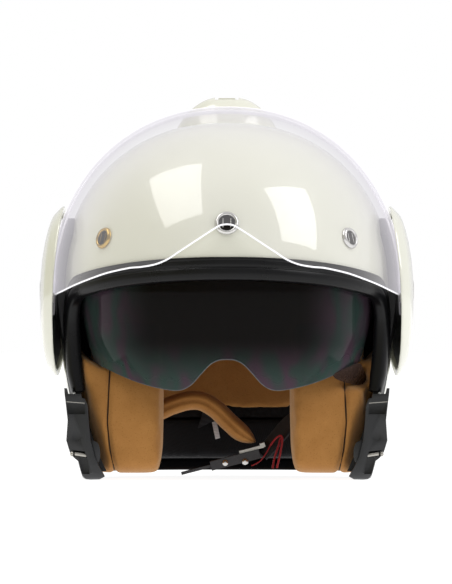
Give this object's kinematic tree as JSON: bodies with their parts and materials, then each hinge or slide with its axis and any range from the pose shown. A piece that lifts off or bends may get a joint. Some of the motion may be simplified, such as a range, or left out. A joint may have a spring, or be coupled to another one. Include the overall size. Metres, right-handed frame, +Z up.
{
  "type": "open face motorcycle helmet",
  "caption": "Open face motorcycle helmet with a clear visor that swings down, a drop-down tinted inner visor, suede padding, jaw catches, brow studs and a chin strap.",
  "frame": {"origin": "middle of the footprint on the table the helmet stands on", "axes": "+Z up, -Y out of the face, +X the wearer's left"},
  "size_m": [0.2656, 0.295, 0.271],
  "materials": {
    "pearl_paint": "gloss pearl white lacquer over a moulded shell",
    "black_foam": "matt black moulded foam",
    "black_rubber": "satin black edging rubber",
    "tan_suede": "brushed tan micro-suede",
    "black_fabric": "matt black jersey",
    "clear_polycarbonate": "clear, hard coated",
    "smoked_polycarbonate": "smoke tint with a faint rainbow coating",
    "black_plastic": "fine textured black",
    "bright_metal": "polished plate",
    "brass_metal": "polished",
    "steel": "plain",
    "black_webbing": "woven",
    "red_ribbon": "woven"
  },
  "bodies": {
    "helmet": {"outer_shell": "pearl_paint", "foam_liner": "black_foam", "face_trim": "black_rubber", "rim_trim": "black_rubber", "crown_liner": "tan_suede", "cheek_pad_left": "tan_suede", "cheek_pad_right": "tan_suede", "neck_roll": "black_fabric", "brow_snap_centre": "bright_metal", "brow_snap_left": "brass_metal", "brow_snap_right": "brass_metal", "crown_vent_hood": "pearl_paint", "crown_vent_grille": "black_plastic", "pivot_plate_left": "black_plastic", "pivot_plate_right": "black_plastic", "pivot_bush_left": "steel", "pivot_bush_right": "steel", "pod_liner_left": "black_plastic", "pod_liner_right": "black_plastic", "pod_cover_left": "pearl_paint", "pod_cover_right": "pearl_paint", "pivot_screw_left": "steel", "pivot_screw_right": "steel", "sun_visor_pin_left": "steel", "sun_visor_pin_right": "steel", "jaw_catch_left": "black_plastic", "jaw_catch_right": "black_plastic", "catch_bar_left": "steel", "catch_bar_right": "steel", "catch_tab_left": "black_plastic", "catch_tab_right": "black_plastic", "strap_anchor_left": "steel", "strap_anchor_right": "steel"},
    "clear_visor": {"clear_visor": "clear_polycarbonate"},
    "sun_visor": {"sun_visor": "smoked_polycarbonate"},
    "vent_slider": {"crown_vent_slider": "black_plastic"},
    "chin_strap": {"strap_sleeve": "tan_suede", "strap_webbing_left": "black_webbing", "strap_webbing_right": "black_webbing", "buckle_body": "black_plastic", "ratchet_tongue": "steel"},
    "buckle_lever": {"buckle_lever": "steel", "pull_ribbon": "red_ribbon"}
  },
  "joints": [
    {"name": "visor_pivot", "type": "hinge", "parent": "helmet", "child": "clear_visor", "pos_m": [0, -0.01649, 0.133], "axis": [1, 0, 0], "range_deg": [0, 48]},
    {"name": "sun_visor_pivot", "type": "hinge", "parent": "helmet", "child": "sun_visor", "pos_m": [0, -0.01649, 0.133], "axis": [1, 0, 0], "range_deg": [-43, 0]},
    {"name": "vent_slide", "type": "slide", "parent": "helmet", "child": "vent_slider", "axis": [0, 1, 0], "range_m": [0, 0.006]},
    {"name": "chin_strap_swing", "type": "hinge", "parent": "helmet", "child": "chin_strap", "pos_m": [0, 0.02951, 0.047], "axis": [1, 0, 0], "range_deg": [-75, 10]},
    {"name": "buckle_lever_lift", "type": "hinge", "parent": "chin_strap", "child": "buckle_lever", "pos_m": [0.0089, 0.02951, 0.0178], "axis": [0, -1, 0], "range_deg": [0, 12], "stiffness_Nm_per_rad": 0.03}
  ]
}
